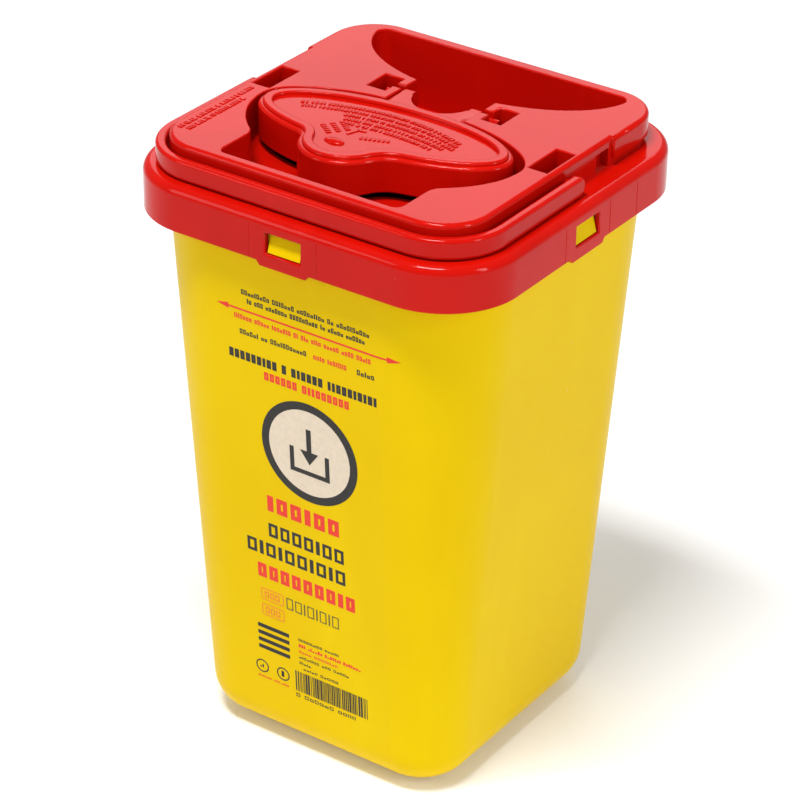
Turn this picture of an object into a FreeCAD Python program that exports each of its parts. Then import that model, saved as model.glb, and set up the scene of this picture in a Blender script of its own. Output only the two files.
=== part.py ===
import FreeCAD, Part
import Sketcher
import math
import os

doc = FreeCAD.newDocument("sharps_container")
TOUCH = 0.01  # lengths that differ by less than this count as equal

# Driving dimensions, in millimetres. Heights are above the surface the container stands on.
SIZES = [
    ("wall", 1.6, "wall of every moulding"),
    ("root", 1.0, "how far a feature runs into the piece that carries it"),
    ("foot_height", 1.2, "moulded feet, below the floor of the bin"),
    ("foot_radius", 6.0, "moulded feet"),
    ("foot_place_x", 25.0, "centre of a foot from the middle"),
    ("foot_place_y", 25.5, "centre of a foot from the middle"),
    ("base_half_x", 42.5, "bin at its floor, half width"),
    ("base_half_y", 43.1, "bin at its floor, half depth"),
    ("base_corner", 15.4, "bin at its floor, corner radius"),
    ("base_round", 11.4, "rounding between floor and walls"),
    ("neck_half_x", 53.3, "bin under its rim, half width"),
    ("neck_half_y", 53.9, "bin under its rim, half depth"),
    ("neck_corner", 19.8, "bin under its rim, corner radius"),
    ("neck_height", 166.0, "underside of the rim flange"),
    ("rim_half_x", 55.6, "rim, half width"),
    ("rim_half_y", 54.7, "rim, half depth"),
    ("rim_corner", 20.5, "rim, corner radius"),
    ("rim_top", 175.2, "top of the rim"),
    ("flange_thick", 1.8, "rim flange"),
    ("latch_half", 5.2, "latch wedge, half width"),
    ("latch_low", 166.9, "catching edge of a latch wedge"),
    ("latch_high", 172.4, "upper end of a latch wedge"),
    ("latch_reach", 1.7, "how far a latch wedge stands out of the rim"),
    ("latch_lead", 0.2, "how far its upper end stands out"),
    ("skirt_half_x", 58.0, "lid skirt, half width"),
    ("skirt_half_y", 57.1, "lid skirt, half depth"),
    ("skirt_corner", 22.9, "lid skirt, corner radius"),
    ("skirt_bottom", 164.2, "lower edge of the skirt"),
    ("skirt_round", 2.6, "rounding of the skirt's upper edge"),
    ("ledge_top", 177.1, "ledge on which the handle lies"),
    ("window_half", 5.7, "latch window, half width"),
    ("window_low", 166.6, "lower edge of a latch window"),
    ("window_high", 172.7, "upper edge of a latch window"),
    ("tab_half", 9.2, "tab below a latch window, half width at the skirt"),
    ("tab_end_half", 7.4, "tab, half width at its lower end"),
    ("tab_drop", 1.35, "tab, how far it reaches below the skirt"),
    ("deck_top", 185.8, "top of the lid's deck"),
    ("deck_half", 51.0, "rear part of the deck, half width"),
    ("deck_corner", 14.0, "deck, corner radius"),
    ("deck_round", 1.3, "rounding of the deck's upper edge"),
    ("deck_side", 1.0, "how much narrower the front part of the deck is, each side"),
    ("deck_front", 49.6, "front of the deck, from the middle"),
    ("step_y", 23.6, "start of the rear part of the deck"),
    ("lip_height", 6.4, "face of the rear lip"),
    ("notch_low", 177.6, "side notch behind the handle's arms"),
    ("notch_high", 183.0, "side notch"),
    ("notch_near", 15.7, "side notch, near end"),
    ("notch_far", 21.7, "side notch, far end"),
    ("notch_deep", 2.6, "side notch, depth"),
    ("recess_floor", 173.9, "floor around the drop aperture"),
    ("recess_half", 41.9, "cover recess, half width"),
    ("recess_back", 17.9, "cover recess, from its long axis to the back"),
    ("recess_front", 30.0, "cover recess, from its long axis to the front"),
    ("finger_half", 29.0, "finger recess, half width"),
    ("finger_front", 46.3, "finger recess, front edge from the middle"),
    ("finger_back", 12.0, "finger recess, back edge under the cover, from the middle"),
    ("finger_corner", 2.4, "finger recess, corner radius"),
    ("nose_blend_left", 4.0, "blend between the nose and the cover's left flank"),
    ("nose_blend_right", 9.0, "blend between the nose and the cover's right flank"),
    ("recess_blend", 6.0, "blend between cover recess and finger recess"),
    ("aperture_inset", 2.4, "from the cover's outline to the drop aperture"),
    ("collar_reach", 1.6, "how far the collar of the drop aperture shows outside the cover"),
    ("collar_rise", 0.5, "how far the collar stands above the floor"),
    ("well_half", 41.6, "rear well, half width"),
    ("well_deep", 25.4, "rear well, from its straight back to its round front"),
    ("well_back", 47.0, "rear well, straight back edge"),
    ("well_floor", 164.4, "floor of the rear well"),
    ("well_corner", 3.0, "rear well, rounding of its two corners"),
    ("gap_half", 12.9, "gap between the cover's hinge webs, half width"),
    ("gap_front", 8.6, "gap between the hinge webs, front end"),
    ("gap_floor", 176.0, "gap between the hinge webs, its floor"),
    ("hinge_back", 24.6, "back of the hinge block, open to the well"),
    ("socket_near", 15.9, "cover hinge socket, side next to its web"),
    ("socket_far", 22.0, "cover hinge socket, outer side"),
    ("socket_front", 11.6, "cover hinge socket, front"),
    ("socket_back", 20.8, "cover hinge socket, back"),
    ("socket_floor", 177.0, "cover hinge socket, floor"),
    ("hinge_y", 16.5, "cover hinge axis"),
    ("hinge_z", 182.6, "cover hinge axis"),
    ("slot_half", 1.15, "slot through which a hinge pin snaps in, half width"),
    ("hinge_pin", 1.55, "cover hinge pin, radius"),
    ("hinge_pin_end", 18.5, "cover hinge pin, outer end"),
    ("pocket_near", 42.4, "handle pocket, inner side"),
    ("pocket_far", 48.2, "handle pocket, outer side"),
    ("pocket_front", 6.1, "handle pocket, front, from the middle"),
    ("pocket_back", 7.8, "handle pocket, back"),
    ("pocket_floor", 177.0, "handle pocket, floor"),
    ("pivot_y", 0.9, "handle pivot axis"),
    ("pivot_z", 180.3, "handle pivot axis"),
    ("pivot_pin", 1.6, "handle pivot pin, radius"),
    ("pivot_pin_end", 45.8, "handle pivot pin, inner end, inside its pocket"),
    ("running_gap", 0.06, "radial clearance of a pin in its hole"),
    ("cover_half", 39.2, "cover, half width"),
    ("cover_middle", -1.5, "middle of the cover's long axis"),
    ("cover_axis", -9.5, "middle of the cover's long axis"),
    ("cover_skew", 3.0, "how far the long axis is turned from square, in degrees"),
    ("cover_back", 16.1, "cover, from its long axis to the back"),
    ("cover_front", 15.6, "cover, from its long axis to the front"),
    ("nose_x", -4.7, "centre of the cover's thumb nose"),
    ("nose_y", -22.1, "centre of the cover's thumb nose"),
    ("nose_radius", 13.2, "thumb nose"),
    ("cover_top", 187.2, "top of the cover's rim bead"),
    ("cover_shoulder", 186.2, "shoulder outside the bead"),
    ("cover_bottom", 176.3, "lower edge of the cover's skirt"),
    ("shoulder_round", 1.1, "rounding of the shoulder"),
    ("bead_inset", 1.3, "from the cover's outline to its rim bead"),
    ("bead_round", 0.8, "rounding of the bead"),
    ("bead_width", 4.3, "from the cover's outline to its panel"),
    ("panel_drop", 1.1, "how far the panel lies below the bead"),
    ("boss_x", -7.2, "drop-shaped boss on the nose"),
    ("boss_y", -24.2, "drop-shaped boss on the nose"),
    ("boss_tall", 0.9, "drop-shaped boss on the nose, height above the panel"),
    ("boss_half_x", 3.2, "drop-shaped boss on the nose, half width"),
    ("boss_half_y", 1.7, "drop-shaped boss on the nose, half depth"),
    ("arm_outer", 12.5, "cover hinge arm, outer side"),
    ("arm_width", 3.2, "cover hinge arm"),
    ("arm_round", 2.5, "rounded end of a cover hinge arm"),
    ("arm_root", 3.6, "where the hinge arms and their web start, in the cover's back wall"),
    ("web_back", 14.9, "web between the hinge arms, back edge"),
    ("web_low", 181.7, "web between the hinge arms, underside"),
    ("bay_radius", 9.1, "round bay in the web"),
    ("bay_y", 17.3, "round bay in the web, centre"),
    ("handle_inner_x", 51.5, "inside of the handle's arms"),
    ("handle_inner_y", 50.4, "inside of the handle's bar, from the middle"),
    ("handle_thick", 3.0, "handle strip"),
    ("handle_tall", 5.8, "handle strip"),
    ("handle_round", 1.0, "rounding of the handle strip's long edges"),
    ("handle_corner", 16.0, "inside corner radius of the handle"),
]
sheet = doc.addObject("Spreadsheet::Sheet", "sizes")
for row, (name, value, note) in enumerate(SIZES, 1):
    sheet.set(f"A{row}", name)
    sheet.set(f"B{row}", str(value))
    sheet.setAlias(f"B{row}", name)
    sheet.set(f"C{row}", note)
doc.recompute()


def size(name):
    """A driving dimension, read back from the sheet."""
    return float(sheet.get(name))


def cell(text):
    """An expression in which every word is an alias of the sheet."""
    words = {name for name, value, note in SIZES}
    parts = text.replace("(", " ( ").replace(")", " ) ").split()
    return " ".join("sizes." + word if word in words else word for word in parts)


def worth(text):
    """The number that an expression on the sheet has now."""
    words = {name: size(name) for name, value, note in SIZES}
    parts = text.replace("(", " ( ").replace(")", " ) ").split()
    return FreeCAD.Units.parseQuantity("".join(str(words.get(p, p)) for p in parts)).Value


def new_body(name):
    """A PartDesign body whose label names the piece."""
    made = doc.addObject("PartDesign::Body", name)
    made.Label = name
    return made


def new_sketch(body, role, offset):
    """A sketch on one of the body's origin planes, moved along the plane's normal."""
    sketch = body.newObject("Sketcher::SketchObject", "sketch")
    plane = [part for part in body.Origin.OriginFeatures if part.Role == role][0]
    sketch.AttachmentSupport = [(plane, "")]
    sketch.MapMode = "FlatFace"
    sketch.setExpression("AttachmentOffset.Base.z", cell(offset))
    return sketch


def bind(sketch, kind, items, text):
    """A sketch dimension that follows the sheet."""
    number = sketch.addConstraint(Sketcher.Constraint(kind, *items, abs(worth(text))))
    sketch.setExpression(f"Constraints[{number}]", cell(text))


def extrude(body, sketch, length, cut=False):
    """Pad a sketch upwards, or cut with it upwards, by a length from the sheet."""
    kind = "PartDesign::Pocket" if cut else "PartDesign::Pad"
    feature = body.newObject(kind, "cut" if cut else "pad")
    feature.Profile = sketch
    feature.setExpression("Length", cell(length))
    if cut:
        feature.Reversed = True
    sketch.Visibility = False
    doc.recompute()
    return feature


def rounded_outline(sketch, left, right, near, far, corner):
    """A rectangle with four equal round corners: four lines, four arcs, fully constrained."""
    x0, x1, y0, y1, r = -worth(left), worth(right), -worth(near), worth(far), worth(corner)
    point = FreeCAD.Vector
    up = point(0, 0, 1)
    lines = [
        (point(x0 + r, y0, 0), point(x1 - r, y0, 0)),
        (point(x1, y0 + r, 0), point(x1, y1 - r, 0)),
        (point(x1 - r, y1, 0), point(x0 + r, y1, 0)),
        (point(x0, y1 - r, 0), point(x0, y0 + r, 0)),
    ]
    centres = [point(x1 - r, y0 + r, 0), point(x1 - r, y1 - r, 0),
               point(x0 + r, y1 - r, 0), point(x0 + r, y0 + r, 0)]
    pieces = []
    for turn in range(4):
        start = math.radians(90 * turn - 90)
        circle = Part.Circle(centres[turn], up, r)
        pieces.append(Part.LineSegment(*lines[turn]))
        pieces.append(Part.ArcOfCircle(circle, start, start + math.pi / 2))
    at = [sketch.addGeometry(piece, False) for piece in pieces]
    for turn in range(4):
        line, arc, following = at[2 * turn], at[2 * turn + 1], at[(2 * turn + 2) % 8]
        sketch.addConstraint(Sketcher.Constraint("Tangent", line, 2, arc, 1))
        sketch.addConstraint(Sketcher.Constraint("Tangent", arc, 2, following, 1))
        sketch.addConstraint(Sketcher.Constraint(("Horizontal", "Vertical")[turn % 2], line))
        if turn:
            sketch.addConstraint(Sketcher.Constraint("Equal", at[1], arc))
    bind(sketch, "Radius", (at[1],), corner)
    bind(sketch, "DistanceY", (at[0], 1, -1, 1), near)
    bind(sketch, "DistanceX", (-1, 1, at[2], 1), right)
    bind(sketch, "DistanceY", (-1, 1, at[4], 1), far)
    bind(sketch, "DistanceX", (at[6], 1, -1, 1), left)


def rounded_block(body, half_x, near, far, corner, low, high, cut=False):
    """An upright rounded block, symmetric left to right, added to a body or cut out of it."""
    sketch = new_sketch(body, "XY_Plane", low)
    rounded_outline(sketch, half_x, half_x, near, far, corner)
    return extrude(body, sketch, f"{high} - ( {low} )", cut)


def plain_block(body, x_low, x_high, y_low, y_high, low, high, cut=False):
    """A square-cornered block between two corners, added to a body or cut out of it."""
    kind = "PartDesign::SubtractiveBox" if cut else "PartDesign::AdditiveBox"
    block = body.newObject(kind, "block")
    block.setExpression("Length", cell(f"( {x_high} ) - ( {x_low} )"))
    block.setExpression("Width", cell(f"( {y_high} ) - ( {y_low} )"))
    block.setExpression("Height", cell(f"( {high} ) - ( {low} )"))
    plane = [part for part in body.Origin.OriginFeatures if part.Role == "XY_Plane"][0]
    block.AttachmentSupport = [(plane, "")]
    block.MapMode = "FlatFace"
    block.setExpression("AttachmentOffset.Base.x", cell(x_low))
    block.setExpression("AttachmentOffset.Base.y", cell(y_low))
    block.setExpression("AttachmentOffset.Base.z", cell(low))
    doc.recompute()
    return block


def cross_pin(body, x_low, x_high, y, z, radius):
    """A round pin along X."""
    pin = body.newObject("PartDesign::AdditiveCylinder", "pin")
    pin.setExpression("Radius", cell(radius))
    pin.setExpression("Height", cell(f"( {x_high} ) - ( {x_low} )"))
    plane = [part for part in body.Origin.OriginFeatures if part.Role == "YZ_Plane"][0]
    pin.AttachmentSupport = [(plane, "")]
    pin.MapMode = "FlatFace"
    pin.setExpression("AttachmentOffset.Base.x", cell(y))
    pin.setExpression("AttachmentOffset.Base.y", cell(z))
    pin.setExpression("AttachmentOffset.Base.z", cell(x_low))
    doc.recompute()
    return pin


def round_edges(body, radius, wanted):
    """Round the edges of the body's tip that the test picks by midpoint and bounding box."""
    tip = body.Tip
    names = []
    for number, edge in enumerate(tip.Shape.Edges, 1):
        middle = edge.valueAt((edge.FirstParameter + edge.LastParameter) / 2)
        if wanted(edge, middle):
            names.append(f"Edge{number}")
    assert names, "no edge to round"
    fillet = body.newObject("PartDesign::Fillet", "round")
    fillet.Base = (tip, names)
    fillet.setExpression("Radius", cell(radius))
    doc.recompute()
    return fillet


def level(edge, height):
    """True for an edge that lies in the horizontal plane at this height."""
    box = edge.BoundBox
    return abs(box.ZMin - height) < TOUCH and abs(box.ZMax - height) < TOUCH


def upright(edge):
    """True for an edge that runs straight up."""
    box = edge.BoundBox
    return box.ZLength > TOUCH and box.XLength < TOUCH and box.YLength < TOUCH


def part_object(kind, name, sizes, turn=0.0):
    """A Part primitive whose properties follow expressions, turned about the upright axis."""
    made = doc.addObject(kind, name)
    for key, text in sizes.items():
        made.setExpression(key, cell(text))
    if turn:
        made.setExpression("Placement.Rotation.Angle", str(turn))
    return made


def box(name, x_low, x_high, y_low, y_high, low, high):
    """A plain box between two corners."""
    return part_object("Part::Box", name, {
        "Length": f"( {x_high} ) - ( {x_low} )",
        "Width": f"( {y_high} ) - ( {y_low} )",
        "Height": f"( {high} ) - ( {low} )",
        "Placement.Base.x": x_low,
        "Placement.Base.y": y_low,
        "Placement.Base.z": low,
    })


def pair(name, near, far, y_low, y_high, low, high):
    """Two mirror-image boxes, left and right of the middle."""
    return [box(name + "_right", near, far, y_low, y_high, low, high),
            box(name + "_left", f"0 - ( {far} )", f"0 - ( {near} )", y_low, y_high, low, high)]


def rod(name, x_low, x_high, y, z, radius):
    """A round bar along X."""
    made = part_object("Part::Cylinder", name, {
        "Radius": radius,
        "Height": f"( {x_high} ) - ( {x_low} )",
        "Placement.Base.x": x_low,
        "Placement.Base.y": y,
        "Placement.Base.z": z,
    })
    made.Placement.Rotation = FreeCAD.Rotation(FreeCAD.Vector(0, 1, 0), 90)
    return made


def rod_pair(name, near, far, y, z, radius):
    """Two mirror-image round bars along X."""
    return [rod(name + "_right", near, far, y, z, radius),
            rod(name + "_left", f"0 - ( {far} )", f"0 - ( {near} )", y, z, radius)]


def fused(name, items):
    """One shape out of several."""
    made = doc.addObject("Part::MultiFuse", name)
    made.Shapes = items
    made.Refine = True
    doc.recompute()
    return made


def removed(name, base, tools):
    """The base with every tool cut out of it."""
    tool = tools[0] if len(tools) == 1 else fused(name + "_tools", tools)
    made = doc.addObject("Part::Cut", name)
    made.Base = base
    made.Tool = tool
    doc.recompute()
    return made


def face_wedge(name, turn, half, low_half, high_half, low, high, inner, low_outer, high_outer):
    """A tapered block on one of the four sides, between two heights.

    It reaches from one depth to another behind and past the side's half width, and its width and
    reach may differ between its lower and upper ends."""
    made = part_object("Part::Wedge", name, {
        "Xmin": f"0 - {low_half}",
        "Xmax": low_half,
        "X2min": f"0 - {high_half}",
        "X2max": high_half,
        "Ymin": "0",
        "Ymax": f"{high} - ( {low} )",
        "Zmin": f"{half} - ( {inner} )",
        "Z2min": f"{half} - ( {inner} )",
        "Zmax": f"{half} + ( {low_outer} )",
        "Z2max": f"{half} + ( {high_outer} )",
    })
    made.Placement = FreeCAD.Placement(
        FreeCAD.Vector(0, 0, worth(low)),
        FreeCAD.Rotation(FreeCAD.Vector(0, 0, 1), turn) * FreeCAD.Rotation(FreeCAD.Vector(1, 0, 0), 90))
    return made


SIDES = (("y", 0), ("x", 90), ("y", 180), ("x", 270))

# The bin: a tapered square tub with a stepped-out rim, four latch wedges and four feet.


def tapered(body, inset, low, high):
    """The tub's tapered form, smaller all round by the inset, with its rounded foot edge."""
    foot = new_sketch(body, "XY_Plane", low)
    rounded_outline(foot, f"base_half_x - {inset}", f"base_half_x - {inset}",
                    f"base_half_y - {inset}", f"base_half_y - {inset}", f"base_corner - {inset}")
    taper = extrude(body, foot, f"{high} - ( {low} )")
    taper.setExpression("TaperAngle", "atan((sizes.neck_half_x - sizes.base_half_x)"
                        " / (sizes.neck_height - sizes.foot_height))")
    doc.recompute()
    round_edges(body, f"base_round - {inset}", lambda edge, middle: level(edge, worth(low)))


tub_outside = new_body("tub_outside")
tapered(tub_outside, "0", "foot_height", "neck_height")
rounded_block(tub_outside, "rim_half_x", "rim_half_y", "rim_half_y", "rim_corner", "neck_height", "rim_top")
tub_inside = new_body("tub_inside")
tapered(tub_inside, "wall", "foot_height + wall", "neck_height + flange_thick")
rounded_block(tub_inside, "rim_half_x - wall", "rim_half_y - wall", "rim_half_y - wall", "rim_corner - wall",
              "neck_height + flange_thick", "rim_top + wall")
shell = removed("tub_shell", tub_outside, [tub_inside])
extras = [face_wedge(f"latch_{turn}", turn, f"rim_half_{axis}", "latch_half", "latch_half",
                     "latch_low", "latch_high", "wall", "latch_reach", "latch_lead") for axis, turn in SIDES]
for across in (-1, 1):
    for along in (-1, 1):
        extras.append(part_object("Part::Cylinder", "foot", {
            "Radius": "foot_radius",
            "Height": "foot_height + wall / 2",
            "Placement.Base.x": f"{across} * foot_place_x",
            "Placement.Base.y": f"{along} * foot_place_y",
        }))
bin_piece = fused("bin", [shell] + extras)

# The cover's outline, used for the cover, its panel and the drop aperture under it.


def oval_sketch(body, half, back, front, middle, skew, low):
    """An oval of two half ellipses that share their long axis, turned by the skew in degrees."""
    sketch = new_sketch(body, "XY_Plane", low)
    centre = FreeCAD.Vector(worth(middle), worth("cover_axis"), 0)
    for short, start in ((worth(back), 0.0), (worth(front), math.pi)):
        ellipse = Part.Ellipse(centre, worth(half), short)
        ellipse.AngleXU = math.radians(worth(skew))
        sketch.addGeometry(Part.ArcOfEllipse(ellipse, start, start + math.pi), False)
    sketch.addConstraint(Sketcher.Constraint("Block", 0))
    sketch.addConstraint(Sketcher.Constraint("Block", 1))
    return sketch


def disc_sketch(body, x, y, radius, low):
    """A circle at a place on the sheet."""
    sketch = new_sketch(body, "XY_Plane", low)
    centre = FreeCAD.Vector(worth(x), worth(y), 0)
    circle = sketch.addGeometry(Part.Circle(centre, FreeCAD.Vector(0, 0, 1), worth(radius)), False)
    bind(sketch, "Radius", (circle,), radius)
    bind(sketch, "DistanceX", (circle, 3, -1, 1), f"0 - {x}")
    bind(sketch, "DistanceY", (circle, 3, -1, 1), f"0 - {y}")
    return sketch


def lobed(name, inset, low, high):
    """The cover's lobed outline, smaller all round by the inset, between two heights."""
    body = new_body(name)
    oval = oval_sketch(body, f"cover_half - ( {inset} )", f"cover_back - ( {inset} )",
                       f"cover_front - ( {inset} )", "cover_middle", "cover_skew", low)
    extrude(body, oval, f"{high} - ( {low} )")
    nose = disc_sketch(body, "nose_x", "nose_y", f"nose_radius - ( {inset} )", low)
    extrude(body, nose, f"{high} - ( {low} )")
    nose_x = size("nose_x")
    round_edges(body, f"nose_blend_left + ( {inset} )",
                lambda edge, middle: upright(edge) and middle.x < nose_x)
    round_edges(body, f"nose_blend_right + ( {inset} )",
                lambda edge, middle: upright(edge) and middle.x > nose_x)
    return body


cover_form = lobed("cover_form", "0", "cover_bottom", "cover_shoulder")
round_edges(cover_form, "shoulder_round", lambda edge, middle: level(edge, size("cover_shoulder")))
cover_bead = lobed("cover_bead", "bead_inset", "cover_shoulder - root", "cover_top")
round_edges(cover_bead, "bead_round", lambda edge, middle: level(edge, size("cover_top")))
cover_hollow = lobed("cover_hollow", "wall", "cover_bottom - wall", "cover_top - panel_drop - wall")
cover_panel = lobed("cover_panel", "bead_width", "cover_top - panel_drop", "cover_top + wall")
cover_shell = removed("cover_shell", fused("cover_outside", [cover_form, cover_bead]),
                      [cover_hollow, cover_panel])
arms = pair("arm", "arm_outer - arm_width", "arm_outer", "arm_root", "hinge_y",
            "hinge_z - arm_round", "hinge_z + arm_round")
arms += rod_pair("arm_end", "arm_outer - arm_width", "arm_outer", "hinge_y", "hinge_z", "arm_round")
arms += rod_pair("arm_pin", "arm_outer - root", "hinge_pin_end", "hinge_y", "hinge_z", "hinge_pin")
web = box("arm_web", "0 - arm_outer + root", "arm_outer - root", "arm_root", "web_back",
          "web_low", "hinge_z + arm_round")
web_bay = part_object("Part::Cylinder", "arm_web_bay", {
    "Radius": "bay_radius",
    "Height": "cover_top - cover_bottom",
    "Placement.Base.y": "bay_y",
    "Placement.Base.z": "cover_bottom",
})
arms.append(removed("arm_flare", web, [web_bay]))
boss = part_object("Part::Ellipsoid", "thumb_boss", {
    "Radius1": "boss_tall",
    "Radius2": "boss_half_x",
    "Radius3": "boss_half_y",
    "Placement.Base.x": "boss_x",
    "Placement.Base.y": "boss_y",
    "Placement.Base.z": "cover_top - panel_drop",
})
cover = fused("cover", [cover_shell, boss] + arms)

# The lid: a skirted cap with a raised deck, and the pans, wells and sockets let into that deck.
cap = new_body("cap_outside")
rounded_block(cap, "skirt_half_x", "skirt_half_y", "skirt_half_y", "skirt_corner",
              "skirt_bottom", "ledge_top")
round_edges(cap, "skirt_round", lambda edge, middle: level(edge, size("ledge_top")))
rounded_block(cap, "deck_half - deck_side", "deck_front", "deck_half - deck_side", "deck_corner",
              "ledge_top - wall", "deck_top")
round_edges(cap, "deck_round", lambda edge, middle: level(edge, size("deck_top")))
lip = new_body("rear_lip")
rounded_block(lip, "deck_half", "deck_front", "deck_half", "deck_corner",
              "deck_top - lip_height", "deck_top")
round_edges(lip, "deck_round", lambda edge, middle: level(edge, size("deck_top")))
lip_part = removed("rear_lip_part", lip, [box("ahead_of_lip", "0 - skirt_half_x", "skirt_half_x",
                                              "0 - skirt_half_y", "step_y", "skirt_bottom", "cover_top")])
room = new_body("cap_inside")
rounded_block(room, "skirt_half_x - wall", "skirt_half_y - wall", "skirt_half_y - wall", "skirt_corner - wall",
              "skirt_bottom - wall", "ledge_top - wall")
rounded_block(room, "deck_half - deck_side - wall", "deck_front - wall", "deck_half - deck_side - wall",
              "deck_corner - wall", "ledge_top - wall", "deck_top - wall")
cap_shell = removed("cap_shell", fused("cap_solid", [cap, lip_part]), [room])


def recess_form(name, grow, low, high):
    """The cover recess with the finger recess in front of it, larger all round by the growth."""
    body = new_body(name)
    oval = oval_sketch(body, f"recess_half + {grow}", f"recess_back + {grow}", f"recess_front + {grow}",
                       "0", "0", low)
    extrude(body, oval, f"{high} - ( {low} )")
    rounded_block(body, f"finger_half + {grow}", f"finger_front + {grow}", "0 - finger_back",
                  f"finger_corner + {grow}", low, high)
    half, straight = worth(f"finger_half + {grow}"), -worth("finger_front - finger_corner")
    round_edges(body, f"recess_blend - {grow}", lambda edge, middle: upright(edge)
                and abs(abs(middle.x) - half) < TOUCH and middle.y > straight + TOUCH)
    return body


def well_form(name, grow, low, high):
    """The D-shaped well, larger all round by the growth: half an ellipse and a straight back."""
    body = new_body(name)
    sketch = new_sketch(body, "XY_Plane", low)
    half, back = worth(f"well_half + {grow}"), worth(f"well_back + {grow}")
    ellipse = Part.Ellipse(FreeCAD.Vector(0, back, 0), half, worth(f"well_deep + 2 * {grow}"))
    sketch.addGeometry(Part.ArcOfEllipse(ellipse, math.pi, 2 * math.pi), False)
    sketch.addGeometry(Part.LineSegment(FreeCAD.Vector(half, back, 0), FreeCAD.Vector(-half, back, 0)), False)
    sketch.addConstraint(Sketcher.Constraint("Block", 0))
    sketch.addConstraint(Sketcher.Constraint("Block", 1))
    extrude(body, sketch, f"{high} - ( {low} )")
    round_edges(body, f"well_corner + {grow}", lambda edge, middle: upright(edge))
    return body


pan_top = "deck_top - wall / 2"
pans = [
    recess_form("recess_wall", "wall", "recess_floor - wall", pan_top),
    well_form("well_wall", "wall", "well_floor - wall", pan_top),
    box("hinge_block", "0 - ( socket_far + wall )", "socket_far + wall", "cover_axis + recess_back - wall",
        "hinge_back", "gap_floor - wall", pan_top),
]
pans += pair("pivot_block", "pocket_near - wall", "deck_half - deck_side - wall / 2",
             "0 - ( pocket_front + wall )", "pocket_back + wall", "pocket_floor - wall", pan_top)
pans += pair("notch_block", "deck_half - deck_side - notch_deep - wall", "deck_half - deck_side - wall / 2",
             "notch_near - wall", "notch_far + wall", "notch_low - wall", "notch_high + wall")
pans.append(lobed("collar", "0 - collar_reach", "recess_floor - wall / 2", "recess_floor + collar_rise"))
tabs = [face_wedge(f"tab_{turn}", turn, f"skirt_half_{axis}", "tab_end_half", "tab_half",
                   "skirt_bottom - tab_drop", "skirt_bottom + wall / 2", "wall", "0", "0")
        for axis, turn in SIDES]

above = "cover_top + wall"
spaces = [
    recess_form("recess_space", "0", "recess_floor", above),
    well_form("well_space", "0", "well_floor", above),
    lobed("aperture", "aperture_inset", "recess_floor - 2 * wall", above),
    box("hinge_gap", "0 - gap_half", "gap_half", "gap_front", "hinge_back", "gap_floor", above),
    box("recess_gap", "0 - gap_half", "gap_half", "cover_axis + recess_back - wall", "gap_front + root",
        "gap_floor + wall", above),
]
spaces += pair("hinge_socket", "socket_near", "socket_far", "socket_front", "socket_back", "socket_floor", above)
spaces += rod_pair("hinge_bore", "gap_half - root", "socket_near + root", "hinge_y", "hinge_z",
                   "hinge_pin + running_gap")
spaces += pair("hinge_slot", "gap_half - root", "socket_near + root", "hinge_y - slot_half", "hinge_y + slot_half",
               "hinge_z", above)
spaces += pair("handle_pocket", "pocket_near", "pocket_far", "0 - pocket_front", "pocket_back",
               "pocket_floor", above)
spaces += rod_pair("pivot_bore", "pocket_far - root", "deck_half + root", "pivot_y", "pivot_z",
                   "pivot_pin + running_gap")
spaces += pair("side_notch", "deck_half - deck_side - notch_deep", "deck_half + wall", "notch_near", "notch_far",
               "notch_low", "notch_high")
spaces += [face_wedge(f"window_{turn}", turn, f"skirt_half_{axis}", "window_half", "window_half",
                      "window_low", "window_high", "wall + root / 2", "wall", "wall") for axis, turn in SIDES]
lid_solid = fused("lid_solid", [cap_shell] + pans + tabs)
lid = removed("lid", lid_solid, spaces)

# The handle: a U-shaped strip round the front of the deck, with a pivot pin at the end of each arm.
strip = new_body("handle_strip")
low_edge, high_edge = "pivot_z - handle_tall / 2", "pivot_z + handle_tall / 2"
rounded_block(strip, "handle_inner_x + handle_thick", "handle_inner_y + handle_thick", "deck_half",
              "handle_corner + handle_thick", low_edge, high_edge)
rounded_block(strip, "handle_inner_x", "handle_inner_y", "deck_half + handle_thick", "handle_corner",
              low_edge, high_edge, cut=True)
plain_block(strip, "0 - skirt_half_x", "skirt_half_x", "pivot_y", "skirt_half_y", low_edge, high_edge, cut=True)
cross_pin(strip, "handle_inner_x", "handle_inner_x + handle_thick", "pivot_y", "pivot_z", "handle_tall / 2")
cross_pin(strip, "0 - ( handle_inner_x + handle_thick )", "0 - handle_inner_x", "pivot_y", "pivot_z",
          "handle_tall / 2")


def long_edge(edge, middle):
    """True for the edges that run along the strip and round its two arm ends."""
    if edge.BoundBox.XLength < TOUCH and middle.y > size("pivot_y") + TOUCH:
        return True
    return level(edge, worth(low_edge)) or level(edge, worth(high_edge))


round_edges(strip, "handle_round", long_edge)
handle = fused("handle", [strip] + rod_pair("pivot_pin", "pivot_pin_end", "handle_inner_x + handle_thick / 2",
                                            "pivot_y", "pivot_z", "pivot_pin"))

PIECES = [bin_piece, lid, cover, handle]
for piece in doc.Objects:
    assert "Invalid" not in piece.State and "Error" not in piece.State, piece.Name
os.makedirs("parts", exist_ok=True)
for piece in PIECES:
    shape = piece.Shape
    assert not shape.isNull() and shape.isValid() and len(shape.Solids) == 1, piece.Label
    shape.exportStep(f"parts/{piece.Label}.step")
    print(piece.Label, round(shape.Volume / 1000, 2), "cm3", shape.BoundBox)
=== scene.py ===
import math
import random

import bmesh
import bpy
from mathutils import Matrix, Vector
from mathutils.bvhtree import BVHTree


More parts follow.
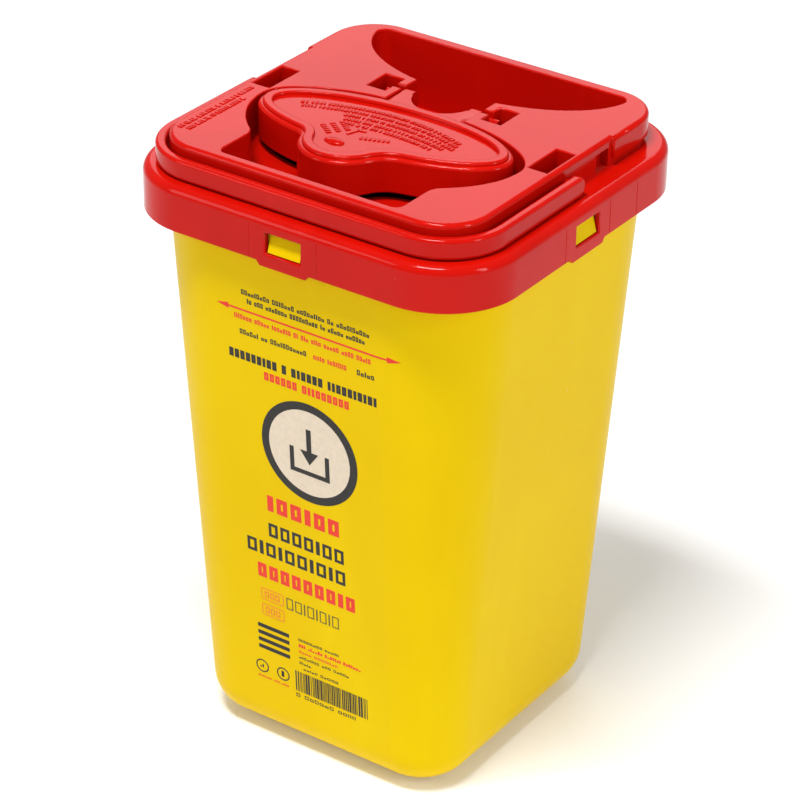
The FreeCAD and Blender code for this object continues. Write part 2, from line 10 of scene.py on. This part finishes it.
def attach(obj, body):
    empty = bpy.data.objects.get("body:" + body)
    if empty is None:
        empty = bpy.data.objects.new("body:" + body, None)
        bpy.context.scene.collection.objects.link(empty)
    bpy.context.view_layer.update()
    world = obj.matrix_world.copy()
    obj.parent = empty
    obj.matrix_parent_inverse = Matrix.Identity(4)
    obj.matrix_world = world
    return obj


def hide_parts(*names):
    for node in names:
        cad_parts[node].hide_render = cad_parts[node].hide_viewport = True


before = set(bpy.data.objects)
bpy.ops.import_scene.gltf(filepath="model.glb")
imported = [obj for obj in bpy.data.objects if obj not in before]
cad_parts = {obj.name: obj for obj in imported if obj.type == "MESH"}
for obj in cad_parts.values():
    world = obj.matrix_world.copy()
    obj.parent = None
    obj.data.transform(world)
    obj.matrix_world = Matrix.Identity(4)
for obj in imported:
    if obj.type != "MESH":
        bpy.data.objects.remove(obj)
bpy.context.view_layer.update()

# The camera: a long lens that looks down on the container from the right of its printed front, and
# is rolled by about a degree. The angles are measured round the container and up from the floor.
AZIMUTH = math.radians(34.43)
ELEVATION = math.radians(29.71)
ROLL = math.radians(0.956)
DISTANCE = 0.9106
AIM = Vector((-0.0011, -0.0002, 0.0982))
back = Vector((math.sin(AZIMUTH) * math.cos(ELEVATION), -math.cos(AZIMUTH) * math.cos(ELEVATION),
               math.sin(ELEVATION)))
level_right = Vector((math.cos(AZIMUTH), math.sin(AZIMUTH), 0))
level_up = back.cross(level_right)
right = level_right * math.cos(ROLL) + level_up * math.sin(ROLL)
up = level_up * math.cos(ROLL) - level_right * math.sin(ROLL)
lens = bpy.data.cameras.new("camera")
lens.lens = 144.7
lens.sensor_width = 36
lens.clip_end = 20
camera = bpy.data.objects.new("camera", lens)
bpy.context.scene.collection.objects.link(camera)
turn = Matrix((right, up, back)).transposed().to_4x4()
camera.matrix_world = Matrix.Translation(AIM + back * DISTANCE) @ turn
bpy.context.scene.camera = camera

# The studio: a wide sheet of white paper in a dim surround. A card behind the container gives its
# deck a broad sheen, a strip overhead gives the edges crisp highlights, and two boxes light the sides.
bpy.context.scene.view_settings.view_transform = "Standard"
bpy.context.scene.view_settings.look = "None"
WHITE = (1.0, 1.0, 1.0, 1)
world = bpy.data.worlds.new("studio")
world.use_nodes = True
surround = world.node_tree.nodes["Background"].inputs
surround["Color"].default_value = WHITE
surround["Strength"].default_value = 0.33
bpy.context.scene.world = world
sheet = bmesh.new()
bmesh.ops.create_grid(sheet, x_segments=1, y_segments=1, size=3.0)
floor_mesh = bpy.data.meshes.new("floor")
sheet.to_mesh(floor_mesh)
sheet.free()
floor = bpy.data.objects.new("floor", floor_mesh)
bpy.context.scene.collection.objects.link(floor)
paper = bpy.data.materials.new("white_paper")
paper.use_nodes = True
finish = paper.node_tree.nodes["Principled BSDF"].inputs
finish["Base Color"].default_value = (0.93, 0.93, 0.93, 1)
finish["Roughness"].default_value = 0.9
finish["Emission Color"].default_value = WHITE
finish["Emission Strength"].default_value = 0.08
floor_mesh.materials.append(paper)


def soft_light(name, place, aim_height, wide, tall, watts):
    """A rectangular soft box that points at a spot on the container's axis."""
    lamp = bpy.data.lights.new(name, "AREA")
    lamp.shape = "RECTANGLE"
    lamp.size = wide
    lamp.size_y = tall
    lamp.energy = watts
    thing = bpy.data.objects.new(name, lamp)
    bpy.context.scene.collection.objects.link(thing)
    direction = Vector((0, 0, aim_height)) - Vector(place)
    thing.location = place
    thing.rotation_euler = direction.to_track_quat("-Z", "Y").to_euler()


soft_light("back_card", (-1.0, 1.5, 1.15), 0.18, 1.3, 0.8, 6)
soft_light("overhead", (0.02, -0.40, 1.35), 0.1, 0.5, 0.2, 16)
soft_light("left_box", (-0.9, -1.1, 0.8), 0.1, 0.4, 0.7, 3.5)
soft_light("right_box", (1.2, -0.1, 0.7), 0.1, 0.2, 0.7, 5)

# The bin: a tapered square tub with four moulded feet and a latch wedge in each window of the lid.
# Satin yellow polypropylene, injection moulded: faint flow clouding, a fine sparked grain and a few
# rubbed streaks.


class Value:
    """A shader socket that Python's own operators work on, one Math node each."""

    def __init__(self, tree, socket):
        self.tree = tree
        self.socket = socket

    def node(self, kind, settings=None, out=0, **inputs):
        """A node of this tree: its settings first, then values or links on its sockets."""
        made = self.tree.nodes.new(kind)
        for key, setting in (settings or {}).items():
            setattr(made, key, setting)
        for key, given in inputs.items():
            socket = made.inputs[int(key[1:])] if key[1:].isdigit() else made.inputs[key.replace("_", " ")]
            if isinstance(given, Value):
                self.tree.links.new(given.socket, socket)
            else:
                socket.default_value = given
        return Value(self.tree, made.outputs[out])

    def maths(self, operation, *others):
        """A Math node on this value and up to two others."""
        inputs = {f"i{number}": other for number, other in enumerate((self, *others))}
        return self.node("ShaderNodeMath", {"operation": operation}, **inputs)

    def __add__(self, other):
        return self.maths("ADD", other)

    __radd__ = __add__

    def __mul__(self, other):
        return self.maths("MULTIPLY", other)

    __rmul__ = __mul__

    def __sub__(self, other):
        return self.maths("SUBTRACT", other)

    def __rsub__(self, other):
        return self.node("ShaderNodeMath", {"operation": "SUBTRACT"}, i0=other, i1=self)

    def ramp(self, low, high):
        """0 below the low value, 1 above the high one, straight between."""
        return self.node("ShaderNodeMapRange", {"clamp": True}, i0=self, i1=low, i2=high, i3=0.0, i4=1.0)

    def mixed(self, first, second):
        """One colour where this value is 0, the other where it is 1."""
        return self.node("ShaderNodeMix", {"data_type": "RGBA"}, out=2, i0=self, i6=first, i7=second)

    def noise(self, place, scale, detail=3.0, roughness=0.55):
        """Noise over a place, from 0 to 1."""
        return self.node("ShaderNodeTexNoise", i0=place, Scale=scale, Detail=detail, Roughness=roughness)

    def stretched(self, place, x, y, z):
        """A place scaled along each axis."""
        return self.node("ShaderNodeMapping", Vector=place, Scale=(x, y, z))


def new_material(name):
    """A node material: its shader node, a value to build on, and the object's own coordinates."""
    skin = bpy.data.materials.new(name)
    skin.use_nodes = True
    tree = skin.node_tree
    shader = tree.nodes["Principled BSDF"]
    start = Value(tree, shader.outputs[0])
    place = start.node("ShaderNodeTexCoord", out=3)
    return skin, shader, start, place


def moulded_plastic(name, deep, plain, pale, gloss, scuff_gloss, specular, grain):
    """Moulded plastic: clouded colour, a fine sparked grain, and rubbed streaks that shine less.

    The scale of each noise is in waves per metre.
    """
    skin, shader, start, place = new_material(name)
    links = skin.node_tree.links
    cloud = start.noise(place, 16.0, 4.0, 0.5)
    flow = start.noise(start.stretched(place, 60.0, 60.0, 9.0), 1.0, 3.0, 0.6)
    colour = cloud.ramp(0.32, 0.68).mixed(deep, plain)
    colour = (flow.ramp(0.55, 0.85) * 0.5).mixed(colour, pale)
    speck = start.node("ShaderNodeTexVoronoi", i0=place, Scale=95.0)
    dust = (1.0 - speck.ramp(0.012, 0.03)) * start.noise(place, 21.0).ramp(0.55, 0.62)
    colour = (dust * 0.45).mixed(colour, (0.95, 0.88, 0.84, 1))
    links.new(colour.socket, shader.inputs["Base Color"])
    rubbed = start.noise(start.stretched(place, 900.0, 900.0, 40.0), 1.0, 2.0, 0.6).ramp(0.66, 0.80)
    patches = start.noise(place, 38.0, 2.0).ramp(0.48, 0.68)
    rough = gloss + rubbed * patches * (scuff_gloss - gloss) + cloud * 0.05
    links.new(rough.socket, shader.inputs["Roughness"])
    fine = start.noise(place, 2600.0, 2.0, 0.6)
    sink = start.noise(place, 45.0, 2.0, 0.4)
    bump = start.node("ShaderNodeBump", Height=fine * grain + sink * 0.9, Strength=0.35, Distance=0.00012)
    links.new(bump.socket, shader.inputs["Normal"])
    shader.inputs["Specular IOR Level"].default_value = specular
    shader.inputs["IOR"].default_value = 1.49
    return skin


yellow = moulded_plastic("yellow_polypropylene", (0.76, 0.505, 0.0, 1), (0.80, 0.555, 0.0, 1),
                         (0.84, 0.62, 0.002, 1), 0.32, 0.55, 0.04, 0.30)
bin_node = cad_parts["bin"]
bin_node.data.materials.clear()
bin_node.data.materials.append(yellow)

# The print on the front of the bin: inks pad printed straight on the plastic. A fill line has two arrow
# heads, rows of plain marks stand in place of wording, a disc holds a plain pictogram, and a block of
# bars stands at the foot. Each mark is a film of ink that follows the face under it.
MM = 0.001
INK = 0.05 * MM
SUNK = 0.25 * MM
solid = bmesh.new()
solid.from_mesh(bin_node.data)
face_tree = BVHTree.FromBMesh(solid)
solid.free()
PRINT_MIDDLE = 3.6


def face_at(x, z):
    """The depth of the bin's front at a place across and up, in metres."""
    hit = face_tree.ray_cast(Vector((x, -0.2, z)), Vector((0, 1, 0)))[0]
    return hit.y


def inked(name, film, colour_skin, proud=INK):
    """Lays flat marks, drawn in millimetres across and up, on the bin's front as a film of ink."""
    bmesh.ops.recalc_face_normals(film, faces=film.faces)
    grown = bmesh.ops.extrude_face_region(film, geom=film.faces[:])
    sunk = {vert for vert in grown["geom"] if isinstance(vert, bmesh.types.BMVert)}
    for vert in film.verts:
        x, z = vert.co.x * MM, vert.co.z * MM
        vert.co = Vector((x, face_at(x, z) + (SUNK if vert in sunk else -proud), z))
    bmesh.ops.recalc_face_normals(film, faces=film.faces)
    mesh = bpy.data.meshes.new(name)
    film.to_mesh(mesh)
    film.free()
    mesh.materials.append(colour_skin)
    thing = bpy.data.objects.new(name, mesh)
    bpy.context.scene.collection.objects.link(thing)
    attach(thing, "container")


def bar(film, left, right, low, high, parts=1):
    """A flat bar of ink, divided along its length so that it can follow a curved face."""
    step = (right - left) / parts
    for part in range(parts):
        x = left + part * step
        corners = [film.verts.new((px, 0, pz)) for px, pz in
                   ((x, low), (x + step, low), (x + step, high), (x, high))]
        film.faces.new(corners)
    bmesh.ops.remove_doubles(film, verts=film.verts, dist=0.0001)


def marks(film, left, right, middle, tall, weight, words, seed):
    """A row of plain bars and hollow boxes in groups, in place of wording."""
    draw = random.Random(seed)
    space = 0.7
    fill = 0.76
    bar_share = 0.22
    small = 2
    pitch = (right - left) / (sum(words) + space * (len(words) - 1))
    stroke = weight * tall
    heavy = 1.4 * stroke
    low, high = middle - tall / 2, middle + tall / 2
    x = left
    for count in words:
        for number in range(count):
            wide = pitch * fill
            rise = draw.choice((0.0, 0.0, -stroke, -2 * stroke)) if tall < small else 0.0
            if draw.random() < bar_share:
                bar(film, x, x + min(wide, heavy), low, high)
                x += min(pitch, heavy + 0.24 * pitch)
                continue
            top = high + rise
            bar(film, x, x + stroke, low, top)
            bar(film, x + wide - stroke, x + wide, low, top)
            bar(film, x + stroke, x + wide - stroke, low, low + stroke)
            bar(film, x + stroke, x + wide - stroke, top - stroke, top)
            x += pitch
        x += space * pitch


def disc(film, x, z, radius, inner=0.0, points=72):
    """A disc, or a ring, of ink."""
    rim = [(math.cos(math.tau * k / points), math.sin(math.tau * k / points)) for k in range(points)]
    outside = [film.verts.new((x + radius * c, 0, z + radius * s)) for c, s in rim]
    if not inner:
        film.faces.new(outside)
        return
    inside = [film.verts.new((x + inner * c, 0, z + inner * s)) for c, s in rim]
    for k in range(points):
        after = (k + 1) % points
        film.faces.new((outside[k], outside[after], inside[after], inside[k]))


def ink(name, colour, rough):
    """Pad-printing ink: even colour with a slightly uneven film."""
    skin, shader, start, place = new_material(name)
    links = skin.node_tree.links
    film = start.noise(place, 700.0, 3.0).ramp(0.35, 0.75)
    worn = tuple(min(1.0, part * 1.08 + 0.012) for part in colour[:3]) + (1,)
    links.new(film.mixed(colour, worn).socket, shader.inputs["Base Color"])
    links.new((film * 0.12 + rough).socket, shader.inputs["Roughness"])
    shader.inputs["Specular IOR Level"].default_value = 0.3
    return skin


black_ink = ink("black_ink", (0.012, 0.009, 0.007, 1), 0.45)
red_ink = ink("red_ink", (0.74, 0.026, 0.004, 1), 0.42)
orange_ink = ink("orange_ink", (0.78, 0.16, 0.01, 1), 0.42)
brown_ink = ink("brown_ink", (0.13, 0.085, 0.01, 1), 0.5)
cream_ink = ink("cream_ink", (0.70, 0.585, 0.45, 1), 0.45)

RING_HEIGHT, RING_INNER = 105.9, 13.5
SYMBOLS_X, SYMBOL_HEIGHT = (-16.8, -9.4), 25.7

# Rows of marks: left end, right end, middle height, height of a mark, stroke as a share of that height,
# and how many marks each group holds. Each row has its own seed.
BLACK_ROWS = ((-16.8, 27.3, 150.4, 1.5, 0.20, (9, 7, 9, 2, 10)),
              (-15.0, 24.4, 147.9, 1.5, 0.20, (2, 3, 7, 9, 2, 5, 6)),
              (-18.0, 5.2, 137.8, 1.5, 0.20, (6, 2, 11)),
              (20.6, 26.9, 137.8, 1.6, 0.20, (5,)),
              (-22.0, 30.4, 130.2, 2.7, 0.25, (9, 1, 6, 10)),
              (-11.8, 16.6, 75.2, 4.5, 0.20, (7,)),
              (-19.6, 23.0, 68.1, 4.5, 0.20, (10,)),
              (-3.3, 13.5, 40.5, 0.8, 0.22, (10, 6)),
              (-3.3, 16.0, 34.4, 0.8, 0.22, (7, 4, 5)),
              (-3.3, 2.0, 32.4, 0.8, 0.22, (5,)),
              (-2.0, 13.0, 30.6, 0.8, 0.22, (6, 6)),
              (-17.6, -16.0, 25.7, 1.1, 0.3, (2,)),
              (-10.0, -8.8, 25.7, 2.0, 0.3, (1,)),
              (-5.0, 20.2, 20.4, 1.2, 0.2, (1, 6, 6)))
RED_ROWS = ((-19.6, 28.9, 142.4, 1.5, 0.20, (7, 5, 7, 2, 3, 4, 5, 4, 5)),
            (6.4, 19.0, 137.8, 1.5, 0.20, (4, 7)),
            (-10.5, 19.1, 126.1, 2.5, 0.25, (6, 9)),
            (-11.8, 16.9, 84.2, 5.2, 0.28, (6,)),
            (-16.4, 19.2, 60.2, 4.7, 0.27, (9,)),
            (-3.3, 19.8, 38.5, 1.1, 0.30, (3, 6, 7, 7)),
            (-3.3, 11.0, 36.4, 0.8, 0.22, (4, 8)),
            (-18.4, -6.8, 22.0, 0.6, 0.30, (5, 5)))

pictogram = bmesh.new()
tray_and_stem = ((-6.6, -5.2, 98.6, 106.6), (5.2, 6.6, 98.6, 106.6), (-5.2, 5.2, 98.6, 100.0),
                 (-0.8, 0.8, 106.4, 113.6))
for start, end, low, high in tray_and_stem:
    bar(pictogram, PRINT_MIDDLE + start, PRINT_MIDDLE + end, low, high)
pictogram.faces.new([pictogram.verts.new((PRINT_MIDDLE + px, 0, pz)) for px, pz in
                     ((-3.0, 106.4), (0.0, 102.2), (3.0, 106.4))])
inked("print_pictogram", pictogram, black_ink, 2 * INK)

black = bmesh.new()
for seed, row in enumerate(BLACK_ROWS, 1):
    marks(black, *row, seed)
disc(black, PRINT_MIDDLE, RING_HEIGHT, 16.0, RING_INNER, 96)
for x in SYMBOLS_X:
    disc(black, x, SYMBOL_HEIGHT, 2.25, 1.85, 36)
for low in (32.2, 34.7, 37.2, 39.7):
    bar(black, -17.6, -6.6, low, low + 1.3)
draw = random.Random(5)
code_end = 20.3
finest = 0.2
x = -5.0
while x < code_end - finest:
    wide = draw.choice((0.22, 0.22, 0.42, 0.62))
    bar(black, x, min(x + wide, code_end), 21.9, 29.0)
    x += wide + draw.choice((0.20, 0.22, 0.40))
inked("print_black", black, black_ink)

red = bmesh.new()
for seed, row in enumerate(RED_ROWS, len(BLACK_ROWS) + 1):
    marks(red, *row, seed)
bar(red, -21.5, 30.5, 144.4, 144.95, 26)
FILL_LINE = 144.68
HEAD_PARTS = 8
for tip, tail in ((-25.3, -21.4), (34.2, 30.3)):
    for part in range(HEAD_PARTS):
        near, far = (tail + (tip - tail) * end / HEAD_PARTS for end in (part, part + 1))
        half, less = (0.93 * (tip - at) / (tip - tail) for at in (near, far))
        rim = [(near, FILL_LINE - half), (far, FILL_LINE - less), (far, FILL_LINE + less),
               (near, FILL_LINE + half)]
        if part == HEAD_PARTS - 1:
            del rim[2]
        red.faces.new([red.verts.new((px, 0, pz)) for px, pz in rim])
inked("print_red", red, red_ink)

cream = bmesh.new()
disc(cream, PRINT_MIDDLE, RING_HEIGHT, RING_INNER, 0.0, 96)
inked("print_disc", cream, cream_ink)

orange = bmesh.new()
left, right_edge, line = -15.7, -7.9, 0.28
for low in (50.0, 44.6):
    high = low + 4.0
    bar(orange, left + line, right_edge - line, low, low + line)
    bar(orange, left + line, right_edge - line, high - line, high)
    bar(orange, left, left + line, low + line, high - line)
    bar(orange, right_edge - line, right_edge, low + line, high - line)
    marks(orange, left + 1.2, right_edge - 1.0, low + 2.0, 2.0, 0.16, (3,), 23)
inked("print_boxes", orange, orange_ink)

brown = bmesh.new()
marks(brown, -6.9, 17.4, 51.8, 3.9, 0.09, (8,), 24)
inked("print_code", brown, brown_ink)

# The lid: one glossy red polypropylene moulding, pressed on for good over the bin's rim. Its openings
# have softly rounded rims, the left of its deck carries two rows of small raised marks, and faint
# parting lines of the mould stand on its skirt.
SHARP = math.radians(30)
SMOOTH = math.radians(35)
red_plastic = moulded_plastic("red_polypropylene", (0.47, 0.0035, 0.001, 1), (0.57, 0.005, 0.0015, 1),
                              (0.63, 0.011, 0.004, 1), 0.08, 0.40, 0.14, 0.12)


def loose_copy(name):
    """A mesh to edit: a moulding's triangles, merged, with its flat faces made whole."""
    weld = 0.004 * MM
    flat = math.radians(0.6)
    shape = bmesh.new()
    shape.from_mesh(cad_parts[name].data)
    bmesh.ops.remove_doubles(shape, verts=shape.verts, dist=weld)
    bmesh.ops.dissolve_limit(shape, angle_limit=flat, verts=shape.verts, edges=shape.edges)
    return shape


def soften(shape, width, wanted):
    """Round the sharp edges that the test picks."""
    edges = [edge for edge in shape.edges if len(edge.link_faces) == 2
             and edge.calc_face_angle() > SHARP and all(wanted(vert.co / MM) for vert in edge.verts)]
    bmesh.ops.bevel(shape, geom=edges, offset=width, offset_type="OFFSET", affect="EDGES", segments=3,
                    profile=0.5, material=-1, clamp_overlap=False)


def raised(shape, x, y, z, along, across, tall, turned=0.0):
    """A small block with rounded edges that stands out of a level face, in millimetres."""
    root = 0.3
    rounding = 0.12
    block = bmesh.new()
    bmesh.ops.create_cube(block, size=1.0)
    bmesh.ops.scale(block, vec=(along, across, tall + root), verts=block.verts)
    bmesh.ops.bevel(block, geom=block.edges[:], offset=rounding, offset_type="OFFSET", affect="EDGES",
                    segments=2, profile=0.5, material=-1)
    bmesh.ops.rotate(block, verts=block.verts, cent=(0, 0, 0), matrix=Matrix.Rotation(turned, 3, "Z"))
    bmesh.ops.translate(block, vec=(x, y, z + (tall - root) / 2), verts=block.verts)
    bmesh.ops.scale(block, vec=(MM, MM, MM), verts=block.verts)
    part = bpy.data.meshes.new("raised_mark")
    block.to_mesh(part)
    block.free()
    shape.from_mesh(part)
    bpy.data.meshes.remove(part)


def moulding(name, shape, body):
    """Makes a red moulding of an edited copy, and lets it stand for the plain one."""
    mesh = bpy.data.meshes.new(name + "_moulding")
    shape.to_mesh(mesh)
    shape.free()
    mesh.shade_smooth()
    mesh.set_sharp_from_angle(angle=SMOOTH)
    mesh.materials.clear()
    mesh.materials.append(red_plastic)
    thing = bpy.data.objects.new(name + "_moulding", mesh)
    bpy.context.scene.collection.objects.link(thing)
    even = thing.modifiers.new("even shading", "WEIGHTED_NORMAL")
    even.keep_sharp = True
    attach(thing, body)
    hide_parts(name)


DECK = 185.8
DECK_HALF_X, DECK_HALF_Y = 48.4, 47.6
SKIRT_HALF_X, SKIRT_HALF_Y = 58.0, 57.1
SKIRT_LOW, SKIRT_HIGH = 164.5, 174.4
WINDOW_LOW, WINDOW_HIGH = 166.5, 172.8
PARTING = 0.2


def lid_rim(place):
    """True on the rims of the deck's openings, and on the faces of the latch windows."""
    in_deck = place.z > DECK - 0.1 and abs(place.x) < DECK_HALF_X and abs(place.y) < DECK_HALF_Y
    on_skirt = abs(place.x) > SKIRT_HALF_X - 0.1 or abs(place.y) > SKIRT_HALF_Y - 0.1
    return in_deck or on_skirt and WINDOW_LOW < place.z < WINDOW_HIGH


lid = loose_copy("lid")
soften(lid, 0.45 * MM, lid_rim)
draw = random.Random(3)
for x, near, far in ((-46.2, -41.0, -8.5), (-43.6, -40.5, -15.0)):
    y = near
    while y < far:
        long = draw.choice((0.5, 0.8, 0.8, 1.1))
        raised(lid, x, y + long / 2, DECK, 1.6, long, 0.25)
        y += long + draw.choice((0.3, 0.3, 0.3, 0.9))
tall = SKIRT_HIGH - SKIRT_LOW
for side in (-1, 1):
    for across in (-10.9, 10.9):
        raised(lid, across, side * SKIRT_HALF_Y, SKIRT_LOW, PARTING + 0.02, PARTING, tall)
    for across in (-10.9, 10.9, 24.6):
        raised(lid, side * SKIRT_HALF_X, across, SKIRT_LOW, PARTING, PARTING + 0.02, tall)
moulding("lid", lid, "container")

# The cover: a red polypropylene moulding that swings on two pins moulded with it. Its panel lies below a
# rounded bead, and carries arcs and short rows of small raised marks, a plain arrow, and a drop-shaped
# boss on the thumb nose.
cover = loose_copy("cover")
BEAD_TOP, PANEL, COVER_FOOT = 187.1, 186.1, 176.35
soften(cover, 0.6 * MM, lambda place: place.z > BEAD_TOP)
soften(cover, 0.35 * MM, lambda place: place.z < COVER_FOOT)
RISE = 0.28
ARCS = ((-29.5, 20.5, -1.9, -1.0, 0.0086), (-28.0, 21.0, -4.4, 0.0, 0.0080), (-15.0, 21.5, -6.9, 1.0, 0.0075),
        (-13.5, 19.0, -9.4, 2.0, 0.0070), (-11.5, 16.0, -11.8, 2.0, 0.0070))
for start, end, crest, middle, sag in ARCS:
    x = start
    while x < end:
        long = draw.choice((0.45, 0.7, 0.7, 0.95))
        centre = x + long / 2
        lean = math.atan(-2 * sag * (centre - middle))
        raised(cover, centre, crest - sag * (centre - middle) ** 2, PANEL, long, 1.35, RISE, lean)
        x += long + draw.choice((0.28, 0.28, 0.28, 0.8))
SHORT_ROWS = ((-15.8, -17.4, -0.64, 5), (-14.2, -15.2, -0.64, 5), (-12.6, -13.0, -0.64, 5),
              (-2.6, -18.4, 0.35, 7))
for x, y, lean, count in SHORT_ROWS:
    for number in range(count):
        reach = 1.25 * number
        raised(cover, x + reach * math.cos(lean), y + reach * math.sin(lean), PANEL, 0.8, 1.5, RISE, lean)
for x, y, long, lean in ((-6.4, -16.0, 5.2, 1.25), (-5.0, -14.6, 2.6, 0.2)):
    raised(cover, x, y, PANEL, long, 0.8, RISE, lean)
moulding("cover", cover, "cover")

# The handle: a U-shaped red strip that lies on the lid's ledge round the deck and swings on a pin at
# each end. It is moulded from the same plastic, with its edges rounded in the mould.
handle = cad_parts["handle"]
handle.data.materials.clear()
handle.data.materials.append(red_plastic)
